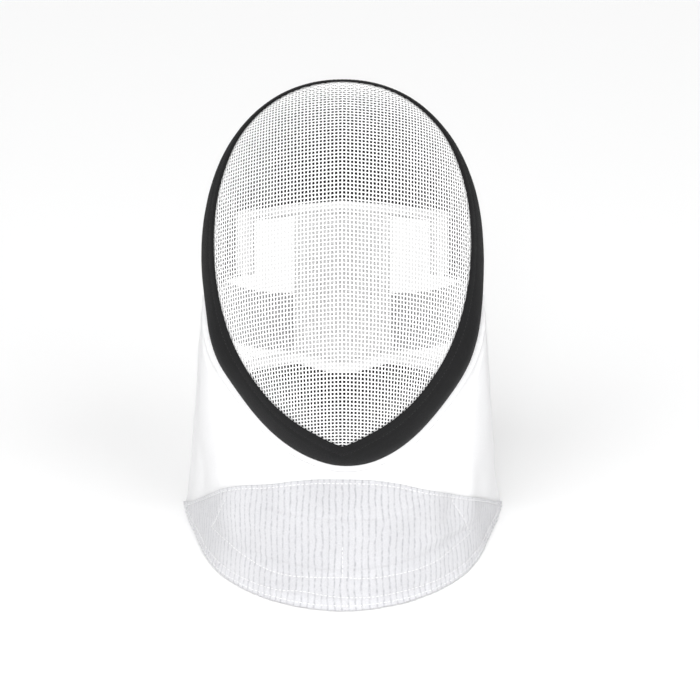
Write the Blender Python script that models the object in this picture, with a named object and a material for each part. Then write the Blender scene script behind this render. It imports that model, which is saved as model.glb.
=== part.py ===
import bpy
import bmesh
from math import acos, asin, copysign, cos, degrees, exp, pi, radians, sin
from mathutils import Matrix, Vector

# A fencing mask standing on its bib. Sizes are in metres.
# The head pieces are drawn in the bowl's frame: x across, y back from the bowl's front, z up its face.
# The bib is drawn in the floor frame: x across, y back, z up from the floor.

# Face bowl, measured round its widest height
bowl_half_width = 0.1076
bowl_rise = 0.1307
bowl_drop = 0.1619
crown_power = 2.20
chin_power = 1.88
crown_rim_depth = 0.0596
side_rim_depth = 0.0912
chin_rim_depth = 0.1009
profile_power = 2.29
profile_bend = 0.77
keel_slope = 0.34
keel_fade = 0.615
mesh_wall = 0.0020
lean_degrees = 37.0

# Straight wall behind the bowl's rim
crown_lap = 0.0240
side_lap = 0.0140
chin_lap = 0.0060

# Edge trim, a channel round the rim. Its front edge is given as shares of the way from the bowl's front.
trim_wall = 0.0016
trim_seat = 0.0003
trim_front_table = (
    # latitude, front share
    (-90.0, 0.9435),
    (-75.0, 0.915),
    (-50.0, 0.909),
    (-30.0, 0.913),
    (0.0, 0.912),
    (25.0, 0.938),
    (45.0, 0.966),
    (90.0, 0.968),
)
trim_slack_table = (
    # side, latitude, spread in degrees, slack as a share of the trim's wall
    (1.0, -28.5, 14.6, 3.2),
    (-1.0, -28.4, 10.5, 2.45),
    (1.0, -63.6, 32.0, 1.6),
    (-1.0, -62.2, 19.7, -0.35),
)

# Bib, a padded skirt that stands on the floor
bib_wall = 0.0040
bib_seat = 0.0003
bib_flange = 0.0060
chin_height = 0.0960
bib_reach = 0.0615
bib_half_width = 0.1305
bib_length = 0.1650
bib_fullness = 0.0030
hem_band = 0.0270
hem_kick = 0.0070
hem_kick_at_ends = 0.0020
bib_floor_table = (
    # share of the way round, share of the half width, share of the length
    (0.00, 0.000, 0.000),
    (0.17, 0.290, 0.047),
    (0.36, 0.565, 0.186),
    (0.55, 0.768, 0.398),
    (0.79, 0.900, 0.720),
    (1.00, 1.000, 1.000),
)
bib_fold_table = (
    # side, share round, share down, spread round, spread down, depth as a share of the fullness
    (1.0, 0.30, 0.18, 0.07, 0.16, -0.9),
    (1.0, 0.50, 0.62, 0.09, 0.22, -1.1),
    (1.0, 0.64, 0.70, 0.06, 0.20, 0.9),
    (-1.0, 0.58, 0.55, 0.12, 0.20, 0.6),
    (-1.0, 0.80, 0.72, 0.06, 0.16, -0.7),
)

# Conductive panel over the bib's lower front
panel_wall = 0.0009
panel_seat = 0.0003
panel_height_table = (
    # share of the way round, height over the floor
    (-1.0, 0.0040),
    (-0.9, 0.0155),
    (-0.8, 0.0305),
    (-0.6, 0.0577),
    (-0.5, 0.0672),
    (-0.4, 0.0725),
    (-0.2, 0.0793),
    (0.0, 0.0802),
    (0.2, 0.0785),
    (0.4, 0.0686),
    (0.6, 0.0525),
    (0.8, 0.0296),
    (0.9, 0.0158),
    (1.0, 0.0040),
)
panel_floor_gap = 0.0012

# Padded liner against the inside of the bowl: a brow pad with legs, and a chin pad, each with a bound edge
liner_wall = 0.0100
liner_seat = 0.0009
binding_width = 0.0065
brow_half_width = 0.0755
brow_height = 0.0118
brow_rise = 0.0055
brow_leg_drop = 0.0260
brow_corner_latitude = 16.0
chin_pad_half_width = 0.0745
chin_pad_height = -0.0906
chin_pad_peak = 0.0450
chin_dip = 0.0104
chin_fall = -0.0015
chin_pad_latitude = -41.5

# Elastic back strap from rim to rim, behind the tongue
strap_width = 0.0500
strap_wall = 0.0020
strap_height = -0.0330
strap_lap = 0.0100
strap_seat = 0.0007

# Back tongue from the crown, behind the head
tongue_width = 0.0860
tongue_wall = 0.0056
tongue_straight = 0.0150
tongue_bend_radius = 0.0900
tongue_bend_degrees = 100.0
tongue_length = 0.1100
tongue_corner = 0.0200

# Facets
columns_round = 64
bib_columns_each_side = 14
bowl_rows = 9
trim_rows = (0.0, 0.30, 0.60, 0.85, 1.0)
trim_inner_row = 2
bib_upper_rows = (0.40, 0.60, 0.80)
panel_row_shares = (0.0, 0.25, 0.50, 0.73, 0.87, 1.0)
pad_rows = 5
brow_leg_columns = 3
brow_columns = 18
chin_pad_columns = 18
strap_rows = 4
strap_bend_columns = 8
tongue_columns = 8
tongue_bend_rows = 12
tongue_straight_rows = 4
tongue_end_shares = (0.6, 0.3, 0.1, 0.0)

lean = radians(lean_degrees)
trim_inner_face = mesh_wall / 2 + trim_seat
trim_outer_face = trim_inner_face + trim_wall
pad_front_face = -mesh_wall / 2 - liner_seat
turn_step = 2 * pi / columns_round


def blend(first, last, share):
    return first + (last - first) * share


def smooth(share):
    share = min(max(share, 0.0), 1.0)
    return share * share * (3 - 2 * share)


def curve_value(table, place, column, level_start=False):
    """A smooth curve through a table's rows (Catmull-Rom)."""
    last = len(table) - 1
    row = next((i for i in range(last) if place <= table[i + 1][0]), last - 1)

    def slope(i):
        if level_start and i == 0:
            return 0.0
        before, after = table[max(i - 1, 0)], table[min(i + 1, last)]
        return (after[column] - before[column]) / (after[0] - before[0])

    low, high = table[row], table[row + 1]
    gap = high[0] - low[0]
    t = (place - low[0]) / gap
    return (
        (2 * t**3 - 3 * t**2 + 1) * low[column]
        + (t**3 - 2 * t**2 + t) * gap * slope(row)
        + (3 * t**2 - 2 * t**3) * high[column]
        + (t**3 - t**2) * gap * slope(row + 1)
    )


def round_rim(turn, crown, side, chin):
    """A value at this turn round the rim, from those at the crown, the sides and the chin."""
    return blend(side, crown if sin(turn) > 0 else chin, sin(turn) ** 2)


def bowl_half(z):
    return (bowl_rise, crown_power) if z >= 0 else (bowl_drop, chin_power)


def bowl_depth(x, z):
    """How far the bowl's middle surface lies behind its front."""
    span, power = bowl_half(z)
    across = abs(x) / bowl_half_width
    along = abs(z) / span
    share = (across**power + along**power) ** (1 / power)
    upright = (along / share) ** 2 if share > 0 else 0.0
    rim_depth = blend(side_rim_depth, crown_rim_depth if z >= 0 else chin_rim_depth, upright)
    share = min(share, 1.0)
    rise = 1 - (1 - share**profile_power) ** profile_bend
    return rim_depth * rise + keel_slope * abs(x) * (1 - share) ** keel_fade


def wall_mid(turn, along):
    """A point of the bowl's middle surface, and past along = 1 of the straight wall behind its rim."""
    span, power = bowl_half(sin(turn))
    share = min(along, 1.0)
    x = copysign(bowl_half_width * share * abs(cos(turn)) ** (2 / power), cos(turn))
    z = copysign(span * share * abs(sin(turn)) ** (2 / power), sin(turn))
    return Vector((x, bowl_depth(x, z) + max(along - 1, 0.0) * bowl_half_width, z))


def wall_normal(turn, along):
    step = 0.004
    outward = wall_mid(turn, along + step) - wall_mid(turn, along - step)
    sideways = wall_mid(turn + step, along) - wall_mid(turn - step, along)
    return outward.cross(sideways).normalized()


def wall_point(turn, along, out):
    return wall_mid(turn, along) + wall_normal(turn, along) * out


def behind_rim(turn, back=0.0):
    """The wall's along value at its end, or this far past it."""
    lap = round_rim(turn, crown_lap, side_lap, chin_lap)
    return 1 + (lap + back) / bowl_half_width


def latitude(turn):
    return degrees(pi / 2 - abs((turn - pi / 2 + pi) % (2 * pi) - pi))


def trim_front(turn):
    return curve_value(trim_front_table, latitude(turn), 1)


def trim_alongs(turn, first_row=0):
    front = trim_front(turn)
    return [blend(front, 1.0, share) for share in trim_rows[first_row:]] + [behind_rim(turn)]


def pad_point(x, z, out):
    """A point off the bowl's middle surface over a place on its face."""
    step = 0.0005
    slope_x = (bowl_depth(x + step, z) - bowl_depth(x - step, z)) / (2 * step)
    slope_z = (bowl_depth(x, z + step) - bowl_depth(x, z - step)) / (2 * step)
    normal = Vector((slope_x, -1.0, slope_z)).normalized()
    return Vector((x, bowl_depth(x, z), z)) + normal * out


def turns_round():
    return [turn_step * i for i in range(columns_round)]


def add_ring_faces(bm, rings):
    """Quads between neighbouring closed rings of the same count."""
    for ring, next_ring in zip(rings, rings[1:]):
        for i, vert in enumerate(ring):
            j = (i + 1) % len(ring)
            bm.faces.new((vert, ring[j], next_ring[j], next_ring[i]))


def ring_body(loops):
    """A closed band through these loops of points, the last joined to the first."""
    bm = bmesh.new()
    rings = [[bm.verts.new(point) for point in loop] for loop in loops]
    add_ring_faces(bm, rings + rings[:1])
    return bm


def bowl_body(loops, first_pole, last_pole):
    """A closed bowl through these loops of points, shut at both poles."""
    bm = bmesh.new()
    rings = [[bm.verts.new(point) for point in loop] for loop in loops]
    add_ring_faces(bm, rings)
    for ring, pole in ((rings[0], bm.verts.new(first_pole)), (rings[-1], bm.verts.new(last_pole))):
        for i, vert in enumerate(ring):
            bm.faces.new((pole, vert, ring[(i + 1) % len(ring)]))
    return bm


def sheet_body(outer_rows, inner_rows):
    """A closed sheet between two grids of points of the same size."""
    bm = bmesh.new()
    outer = [[bm.verts.new(point) for point in row] for row in outer_rows]
    inner = [[bm.verts.new(point) for point in row] for row in inner_rows]
    rows, columns = len(outer), len(outer[0])
    for i in range(rows - 1):
        for j in range(columns - 1):
            for side in (outer, inner):
                bm.faces.new((side[i][j], side[i][j + 1], side[i + 1][j + 1], side[i + 1][j]))
        for j in (0, columns - 1):
            bm.faces.new((outer[i][j], outer[i + 1][j], inner[i + 1][j], inner[i][j]))
    for j in range(columns - 1):
        for i in (0, rows - 1):
            bm.faces.new((outer[i][j], outer[i][j + 1], inner[i][j + 1], inner[i][j]))
    return bm


def add_piece(name, bm, parent, colour, roughness, metallic=0.0):
    bmesh.ops.recalc_face_normals(bm, faces=bm.faces)
    mesh = bpy.data.meshes.new(name)
    bm.to_mesh(mesh)
    bm.free()
    mesh.shade_smooth()
    mesh.set_sharp_from_angle(angle=radians(40))
    material = bpy.data.materials.new(name)
    material.use_nodes = True
    shader = material.node_tree.nodes["Principled BSDF"]
    shader.inputs["Base Color"].default_value = (*colour, 1.0)
    shader.inputs["Roughness"].default_value = roughness
    shader.inputs["Metallic"].default_value = metallic
    mesh.materials.append(material)
    piece = bpy.data.objects.new(name, mesh)
    piece.parent = parent
    bpy.context.collection.objects.link(piece)
    return piece


def mesh_shell_body():
    """The woven wire face, as one wall."""
    def loop(side, share=None, row=None):
        points = []
        for turn in turns_round():
            along = trim_front(turn) * share if row is None else trim_alongs(turn)[row]
            points.append(wall_point(turn, along, side * mesh_wall / 2))
        return points

    face = [(i + 1) / bowl_rows for i in range(bowl_rows)]
    under_trim = range(1, len(trim_rows) + 1)
    outer = [loop(1, share=share) for share in face] + [loop(1, row=row) for row in under_trim]
    inner = [loop(-1, share=share) for share in face] + [loop(-1, row=row) for row in under_trim]
    front = Vector((0.0, -mesh_wall / 2, 0.0))
    return bowl_body(outer + inner[::-1], front, -front)


def trim_slack(turn):
    """How far the band's outer face stands off its wall at the rim."""
    total = 0.0
    for side, place, spread, share in trim_slack_table:
        on_side = smooth(0.5 + 2 * side * cos(turn))
        total += on_side * share * exp(-(((latitude(turn) - place) / spread) ** 2))
    return total * trim_wall


def trim_out(turn, share=1.0):
    """The band's outer face over the wall's middle, from its front edge at share 0 to the rim at 1."""
    return trim_outer_face + trim_slack(turn) * smooth(share)


def trim_body():
    """A channel round the rim: outer leg, web behind the rim, inner leg."""
    def leg(out, first_row=0):
        rows = len(trim_rows) + 1 - first_row
        return [
            [wall_point(turn, trim_alongs(turn, first_row)[row], out) for turn in turns_round()]
            for row in range(rows)
        ]

    def outer_leg():
        return [
            [wall_point(turn, trim_alongs(turn)[row], trim_out(turn, share)) for turn in turns_round()]
            for row, share in enumerate(trim_rows + (1.0,))
        ]

    def web(back, out=None):
        return [
            wall_point(turn, behind_rim(turn, back), trim_out(turn) if out is None else out)
            for turn in turns_round()
        ]

    back_face = trim_seat + trim_wall
    loops = leg(trim_inner_face)[::-1] + outer_leg() + [web(back_face), web(back_face, -trim_outer_face)]
    loops += leg(-trim_outer_face, trim_inner_row)[::-1] + leg(-trim_inner_face, trim_inner_row)
    for out in (-trim_inner_face, trim_inner_face):
        loops.append(web(trim_seat, out))
    return ring_body(loops)


def pad_edge_place(turn):
    """The place on the face where a pad meets the front of the trim's inner leg."""
    share = blend(trim_front(turn), 1.0, trim_rows[trim_inner_row]) - liner_seat / bowl_half_width
    edge = wall_mid(turn, share)
    return edge.x, edge.z


def pad_body(edge, far_edge, rows):
    """A padded sheet against the bowl between two lines of places on its face."""
    def grid(out):
        return [
            [
                pad_point(blend(x, far_x, i / rows), blend(z, far_z, i / rows), out)
                for (x, z), (far_x, far_z) in zip(edge, far_edge)
            ]
            for i in range(rows + 1)
        ]

    return sheet_body(grid(pad_front_face), grid(pad_front_face - liner_wall))


def brow_line(grow):
    """The brow pad's lower edge, from the right leg's foot over the brow to the left one's, moved out by grow."""
    half, top = brow_half_width + grow, brow_height + grow
    corner = top + brow_rise
    leg = [(half, blend(-brow_leg_drop, corner, i / brow_leg_columns)) for i in range(brow_leg_columns)]
    shares = [1 - 2 * i / brow_columns for i in range(brow_columns + 1)]
    brow = [(half * share, top + brow_rise * share**2) for share in shares]
    return leg + brow + [(-x, z) for x, z in leg[::-1]]


def brow_rim_line():
    """Where the brow pad meets the trim, place for place with its lower edge."""
    foot_turn = -asin((brow_leg_drop / bowl_drop) ** (chin_power / 2))
    corner = radians(brow_corner_latitude)
    legs = [blend(foot_turn, corner, i / brow_leg_columns) for i in range(brow_leg_columns)]
    brow = [blend(corner, pi - corner, i / brow_columns) for i in range(brow_columns + 1)]
    return [pad_edge_place(turn) for turn in legs + brow + [pi - turn for turn in legs[::-1]]]


def chin_line(grow):
    """The chin pad's upper edge, dipped at the chin, moved down by grow."""
    places = []
    for i in range(chin_pad_columns + 1):
        x = chin_pad_half_width * (1 - 2 * i / chin_pad_columns)
        if abs(x) < chin_pad_peak:
            fall = chin_dip * (1 + cos(pi * x / chin_pad_peak)) / 2
        else:
            fall = chin_fall * ((abs(x) - chin_pad_peak) / (chin_pad_half_width - chin_pad_peak)) ** 2
        places.append((x, chin_pad_height - fall - grow))
    return places


def chin_rim_line():
    end = radians(chin_pad_latitude)
    turns = [blend(end, -pi - end, i / chin_pad_columns) for i in range(chin_pad_columns + 1)]
    return [pad_edge_place(turn) for turn in turns]


def tongue_path(distance):
    """How far back and up the tongue has gone, and its heading, this far along it."""
    bend_length = tongue_bend_radius * radians(tongue_bend_degrees)
    heading = min(max(distance - tongue_straight, 0.0), bend_length) / tongue_bend_radius
    rest = max(distance - tongue_straight - bend_length, 0.0)
    back = min(distance, tongue_straight) + tongue_bend_radius * sin(heading) + rest * cos(heading)
    up = -tongue_bend_radius * (1 - cos(heading)) - rest * sin(heading)
    return back, up, heading


def tongue_distances():
    bend_end = tongue_straight + tongue_bend_radius * radians(tongue_bend_degrees)
    total = bend_end + tongue_length
    bend = [blend(tongue_straight, bend_end, i / tongue_bend_rows) for i in range(tongue_bend_rows + 1)]
    plain = total - tongue_corner
    straight = [blend(bend_end, plain, (i + 1) / tongue_straight_rows) for i in range(tongue_straight_rows)]
    return [0.0] + bend + straight + [total - tongue_corner * share for share in tongue_end_shares]


def tongue_back_at(z):
    """How far back the tongue's middle lies at this height, in the bowl's frame."""
    drop = bowl_rise - z
    bend = radians(tongue_bend_degrees)
    bend_drop = tongue_bend_radius * (1 - cos(bend))
    heading = acos(1 - drop / tongue_bend_radius) if drop < bend_drop else bend
    rest = max(drop - bend_drop, 0.0) / sin(bend)
    start = wall_mid(pi / 2, behind_rim(pi / 2, 2 * trim_seat + trim_wall)).y
    return start + tongue_straight + tongue_bend_radius * sin(heading) + rest * cos(heading)


def strap_line(z):
    """The strap's middle at this height: along the rim's inside, round a bend, then behind the tongue."""
    turn = copysign(asin((abs(z) / bowl_drop) ** (chin_power / 2)), z)
    inside = -trim_outer_face - strap_seat - strap_wall / 2
    end = wall_point(turn, behind_rim(turn), inside)
    half_flat = tongue_width / 2 + strap_wall
    back = tongue_back_at(z) + (tongue_wall + strap_wall) / 2 / sin(radians(tongue_bend_degrees)) + strap_seat
    line = [(end.x, end.y - strap_lap)]
    for i in range(strap_bend_columns + 1):
        angle = pi / 2 * i / strap_bend_columns
        line.append((blend(half_flat, end.x, cos(angle)), blend(end.y, back, sin(angle))))
    line.append((0.0, back))
    return line + [(-x, y) for x, y in line[-2::-1]]


def strap_body():
    def row(z, out):
        line = strap_line(z)
        points = []
        for i, (x, y) in enumerate(line):
            (x0, y0), (x1, y1) = line[max(i - 1, 0)], line[min(i + 1, len(line) - 1)]
            normal = Vector((y1 - y0, x0 - x1, 0.0)).normalized()
            points.append(Vector((x, y, z)) + normal * out)
        return points

    heights = [strap_height + strap_width * (i / strap_rows - 0.5) for i in range(strap_rows + 1)]
    return sheet_body(
        [row(z, strap_wall / 2) for z in heights], [row(z, -strap_wall / 2) for z in heights]
    )


def crown_turn(x):
    """The turn at which the rim lies this far across, above its widest height."""
    along = (abs(x) / bowl_half_width) ** (crown_power / 2)
    return acos(copysign(along, x))


def tongue_body():
    """A padded strip that leaves the trim's crown and curves down behind the head."""
    seat_back = 2 * trim_seat + trim_wall
    distances = tongue_distances()

    def point(distance, across, out):
        to_end = min((distances[-1] - distance) / tongue_corner, 1.0)
        narrowing = tongue_corner * (1 - (1 - (1 - to_end) ** 2) ** 0.5)
        x = across * (tongue_width / 2 - narrowing)
        turn = crown_turn(x)
        seat = wall_mid(turn, behind_rim(turn, seat_back))
        crown = wall_mid(pi / 2, behind_rim(pi / 2, seat_back))
        flat = smooth(distance / (tongue_straight + tongue_bend_radius))
        back, up, heading = tongue_path(distance)
        normal = Vector((0.0, sin(heading), cos(heading)))
        start = Vector((x, blend(seat.y, crown.y, flat), blend(seat.z, crown.z, flat)))
        return start + Vector((0.0, back, up)) + normal * out

    def rows(out):
        acrosses = [2 * i / tongue_columns - 1 for i in range(tongue_columns + 1)]
        return [[point(distance, across, out) for across in acrosses] for distance in distances]

    return sheet_body(rows(tongue_wall / 2), rows(-tongue_wall / 2))


def head_matrix():
    """From the bowl's frame to the floor frame: leaned back, with the chin's rim at its height."""
    leaned = Matrix.Rotation(-lean, 4, "X")
    return Matrix.Translation((0.0, 0.0, chin_height - (leaned @ wall_mid(-pi / 2, 1.0)).z)) @ leaned


def bib_turn(place):
    """The turn round the rim for a place round the bib, from -1 to 1 with 0 under the chin."""
    return place * bib_columns_each_side * turn_step - pi / 2


def bib_top(place, back=0.0):
    turn = bib_turn(place)
    out = trim_out(turn) + bib_seat + bib_wall / 2
    return head_matrix() @ wall_point(turn, behind_rim(turn, trim_seat + trim_wall - back), out)


def bib_floor(place):
    x = bib_half_width * copysign(curve_value(bib_floor_table, abs(place), 1), place)
    y = bib_length * curve_value(bib_floor_table, abs(place), 2, level_start=True)
    chin = head_matrix() @ wall_mid(-pi / 2, 1.0)
    return Vector((x, chin.y - bib_reach + y, 0.0))


def bib_folds(place, down):
    total = 0.0
    for side, round_place, down_place, round_spread, down_spread, depth in bib_fold_table:
        across = (side * place - round_place) / round_spread
        along = (down - down_place) / down_spread
        total += depth * exp(-across * across - along * along)
    return total * bib_fullness


def bib_mid(place, down):
    """A point of the bib's middle surface, down from 0 at its fold under the trim to 1 at the floor."""
    top, floor = bib_top(place), bib_floor(place)
    step = 0.01
    tangent = bib_floor(place + step) - bib_floor(place - step)
    outward = Vector((tangent.y, -tangent.x, 0.0)).normalized()
    band = hem_band / (floor - top).length
    waist = 1 - band
    kick = (1 - down) / band if down > waist else smooth(down / waist)
    kick *= blend(hem_kick, hem_kick_at_ends, place * place)
    swell = (bib_fullness * (1 - place * place) + bib_folds(place, down)) * sin(pi * down)
    return top.lerp(floor, down) + outward * (swell - kick)


def bib_normal(place, down):
    step = 0.004
    sideways = bib_mid(place + step, down) - bib_mid(place - step, down)
    downward = bib_mid(place, down + step) - bib_mid(place, down - step)
    return downward.cross(sideways).normalized()


def bib_point(place, down, out, level=False):
    """A point off the middle surface. A level one lies straight outwards, which keeps the rim flat."""
    normal = bib_normal(place, down)
    if level:
        flat = Vector((normal.x, normal.y, 0.0)).normalized()
        return bib_mid(place, down) + flat * (out / flat.dot(normal))
    return bib_mid(place, down) + normal * out


def bib_fold_point(place, out):
    """A point at the fold, where the flange along the trim turns into the skirt."""
    turn = bib_turn(place)
    flange = head_matrix().to_3x3() @ wall_normal(turn, behind_rim(turn, trim_seat + trim_wall))
    corner = (flange + bib_normal(place, 0.02)).normalized()
    return bib_top(place) + corner * (out / corner.dot(flange))


def bib_flange_point(place, out):
    turn = bib_turn(place)
    flange = head_matrix().to_3x3() @ wall_normal(turn, behind_rim(turn, trim_seat + trim_wall - bib_flange))
    return bib_top(place, bib_flange) + flange * out


def panel_top(place):
    """How far down the bib the conductive panel starts."""
    return 1 - curve_value(panel_height_table, place, 1) / bib_top(place).z


def bib_places():
    steps = range(-bib_columns_each_side, bib_columns_each_side + 1)
    return [step / bib_columns_each_side for step in steps]


def bib_body():
    def rows(out):
        grid = [[bib_flange_point(place, out) for place in bib_places()]]
        grid.append([bib_fold_point(place, out) for place in bib_places()])
        for share in bib_upper_rows:
            grid.append([bib_point(place, panel_top(place) * share, out) for place in bib_places()])
        for share in panel_row_shares:
            downs = [(place, blend(panel_top(place), 1.0, share)) for place in bib_places()]
            grid.append([bib_point(place, down, out, level=share == 1) for place, down in downs])
        return grid

    return sheet_body(rows(bib_wall / 2), rows(-bib_wall / 2))


def panel_body():
    """A thin sheet over the lower part of the bib's outer face, just clear of the floor."""
    def rows(out):
        grid = []
        for share in panel_row_shares:
            row = []
            for place in bib_places():
                bottom = 1 - panel_floor_gap / bib_top(place).z
                down = blend(panel_top(place), bottom, share)
                row.append(bib_point(place, down, out, level=share == 1))
            grid.append(row)
        return grid

    inner = bib_wall / 2 + panel_seat
    return sheet_body(rows(inner + panel_wall), rows(inner))


def stand_on_floor(root):
    """Moves the mask so that the middle of its box's underside is the world's origin."""
    bpy.context.view_layer.update()
    points = []
    for piece in bpy.context.scene.objects:
        if piece.type == "MESH":
            points += [piece.matrix_world @ vert.co for vert in piece.data.vertices]
    low = [min(point[i] for point in points) for i in range(3)]
    high = [max(point[i] for point in points) for i in range(3)]
    root.location = (-(low[0] + high[0]) / 2, -(low[1] + high[1]) / 2, -low[2])


def main():
    for obj in list(bpy.data.objects):
        bpy.data.objects.remove(obj)
    mask = bpy.data.objects.new("fencing_mask", None)
    head = bpy.data.objects.new("head_frame", None)
    for frame in (mask, head):
        bpy.context.collection.objects.link(frame)
    head.parent = mask
    head.matrix_local = head_matrix()
    add_piece("mesh_shell", mesh_shell_body(), head, (0.86, 0.86, 0.86), 0.35, 0.2)
    add_piece("trim_band", trim_body(), head, (0.012, 0.012, 0.012), 0.75)
    dark, pale = (0.045, 0.03, 0.038), (0.75, 0.75, 0.76)
    bound = binding_width + liner_seat
    add_piece("brow_pad", pad_body(brow_line(bound), brow_rim_line(), pad_rows), head, dark, 0.9)
    add_piece("brow_binding", pad_body(brow_line(0.0), brow_line(binding_width), 1), head, pale, 0.85)
    add_piece("chin_pad", pad_body(chin_line(bound), chin_rim_line(), pad_rows), head, dark, 0.9)
    add_piece("chin_binding", pad_body(chin_line(0.0), chin_line(binding_width), 1), head, pale, 0.85)
    add_piece("back_strap", strap_body(), head, (0.4, 0.4, 0.41), 0.9)
    add_piece("tongue", tongue_body(), head, (0.55, 0.55, 0.56), 0.9)
    add_piece("bib", bib_body(), mask, (0.85, 0.85, 0.86), 0.85)
    add_piece("conductive_panel", panel_body(), mask, (0.62, 0.62, 0.65), 0.5, 0.3)
    stand_on_floor(mask)


main()
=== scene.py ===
from functools import lru_cache
from math import acos, asin, copysign, cos, degrees, exp, hypot, pi, radians, sin, sqrt

import bmesh
import bpy
from mathutils import Matrix, Vector, noise
from mathutils.kdtree import KDTree


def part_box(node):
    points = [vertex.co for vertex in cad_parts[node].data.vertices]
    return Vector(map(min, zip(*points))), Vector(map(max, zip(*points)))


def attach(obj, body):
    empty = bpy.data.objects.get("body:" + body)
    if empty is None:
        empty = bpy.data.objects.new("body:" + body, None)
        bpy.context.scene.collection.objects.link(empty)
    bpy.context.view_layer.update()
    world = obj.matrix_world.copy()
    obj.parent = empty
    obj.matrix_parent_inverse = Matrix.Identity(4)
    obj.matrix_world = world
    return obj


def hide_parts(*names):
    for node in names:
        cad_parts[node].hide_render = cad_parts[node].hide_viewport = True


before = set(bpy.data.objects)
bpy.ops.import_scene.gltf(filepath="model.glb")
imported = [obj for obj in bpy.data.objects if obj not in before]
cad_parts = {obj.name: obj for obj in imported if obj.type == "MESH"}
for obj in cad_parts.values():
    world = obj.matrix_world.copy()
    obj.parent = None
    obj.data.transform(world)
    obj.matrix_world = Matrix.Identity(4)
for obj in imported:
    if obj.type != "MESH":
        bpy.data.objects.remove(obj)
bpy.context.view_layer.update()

print("mask: frame loaded")


# Small helpers for numbers and curves

def blend(first, last, share):
    return first + (last - first) * share


def smooth(share):
    share = min(max(share, 0.0), 1.0)
    return share * share * (3 - 2 * share)


def bump(distance, spread):
    return exp(-(distance / spread) ** 2)


def curveValue(table, place, column, levelStart=False):  # Catmull-Rom through the table's rows
    last = len(table) - 1
    row = next((i for i in range(last) if place <= table[i + 1][0]), last - 1)

    def slope(i):
        if levelStart and i == 0:
            return 0.0
        before, after = table[max(i - 1, 0)], table[min(i + 1, last)]
        return (after[column] - before[column]) / (after[0] - before[0])

    low, high = table[row], table[row + 1]
    gap = high[0] - low[0]
    t = (place - low[0]) / gap
    return (
        (2 * t**3 - 3 * t**2 + 1) * low[column]
        + (t**3 - 2 * t**2 + t) * gap * slope(row)
        + (3 * t**2 - 2 * t**3) * high[column]
        + (t**3 - t**2) * gap * slope(row + 1)
    )


def surfaceNormal(surface, around, along, step=0.004):  # of a surface given as surface(around, along)
    across = surface(around + step, along) - surface(around - step, along)
    down = surface(around, along + step) - surface(around, along - step)
    return down.cross(across).normalized()


def runningLengths(points):
    lengths = [0.0]
    for (x, y), (nextX, nextY) in zip(points, points[1:]):
        lengths.append(lengths[-1] + hypot(nextX - x, nextY - y))
    return lengths


# The bowl's form, in its own frame: x across, y back from its front, z up its face

bowl = {
    "halfWidth": 0.1076, "rise": 0.1307, "drop": 0.1619,
    "crownPower": 2.2, "chinPower": 1.88,
    "crownRimDepth": 0.0596, "sideRimDepth": 0.0912, "chinRimDepth": 0.1009,
    "profilePower": 2.29, "profileBend": 0.77,
    "keelSlope": 0.34, "keelFade": 0.615,
    "wall": 0.002, "leanDegrees": 37.0,
    "crownLap": 0.024, "sideLap": 0.014, "chinLap": 0.006,
    "frontToOrigin": 0.039819, "topToOrigin": 0.070891,
}

shellLow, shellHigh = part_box("mesh_shell")
bowlPlace = Vector((
    (shellLow.x + shellHigh.x) / 2, shellLow.y + bowl["frontToOrigin"], shellHigh.z - bowl["topToOrigin"]
))
toWorld = Matrix.Translation(bowlPlace) @ Matrix.Rotation(-radians(bowl["leanDegrees"]), 4, "X")
turnToWorld = toWorld.to_3x3()


def bowlHalf(z):
    return (bowl["rise"], bowl["crownPower"]) if z >= 0 else (bowl["drop"], bowl["chinPower"])


def bowlShare(x, z):  # 0 at the bowl's front, 1 at its rim
    span, power = bowlHalf(z)
    return ((abs(x) / bowl["halfWidth"]) ** power + (abs(z) / span) ** power) ** (1 / power)


def bowlDepth(x, z):
    span, _ = bowlHalf(z)
    share = bowlShare(x, z)
    upright = (abs(z) / span / share) ** 2 if share > 0 else 0.0
    endDepth = bowl["crownRimDepth"] if z >= 0 else bowl["chinRimDepth"]
    rimDepth = blend(bowl["sideRimDepth"], endDepth, upright)
    share = min(share, 1.0)
    rise = 1 - (1 - share ** bowl["profilePower"]) ** bowl["profileBend"]
    return rimDepth * rise + bowl["keelSlope"] * abs(x) * (1 - share) ** bowl["keelFade"]


def faceSlope(x, z):  # a vector straight out of the face, longer where it is steeper
    step = 0.0005
    slopeX = (bowlDepth(x + step, z) - bowlDepth(x - step, z)) / (2 * step)
    slopeZ = (bowlDepth(x, z + step) - bowlDepth(x, z - step)) / (2 * step)
    return Vector((slopeX, -1.0, slopeZ))


def facePoint(x, z, out):  # a point off the bowl's middle surface
    return Vector((x, bowlDepth(x, z), z)) + faceSlope(x, z).normalized() * out


def wallMid(turn, along):  # past along = 1 it runs straight back behind the rim
    span, power = bowlHalf(sin(turn))
    share = min(along, 1.0)
    x = copysign(bowl["halfWidth"] * share * abs(cos(turn)) ** (2 / power), cos(turn))
    z = copysign(span * share * abs(sin(turn)) ** (2 / power), sin(turn))
    return Vector((x, bowlDepth(x, z) + max(along - 1, 0.0) * bowl["halfWidth"], z))


def wallNormal(turn, along):
    return surfaceNormal(wallMid, turn, along)


def wallPoint(turn, along, out):
    return wallMid(turn, along) + wallNormal(turn, along) * out


def behindRim(turn, back=0.0):
    share = sin(turn) ** 2
    lap = blend(bowl["sideLap"], bowl["crownLap"] if sin(turn) > 0 else bowl["chinLap"], share)
    return 1 + (lap + back) / bowl["halfWidth"]


def latitude(turn):
    return degrees(pi / 2 - abs((turn - pi / 2 + pi) % (2 * pi) - pi))


# Mesh helpers

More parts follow.
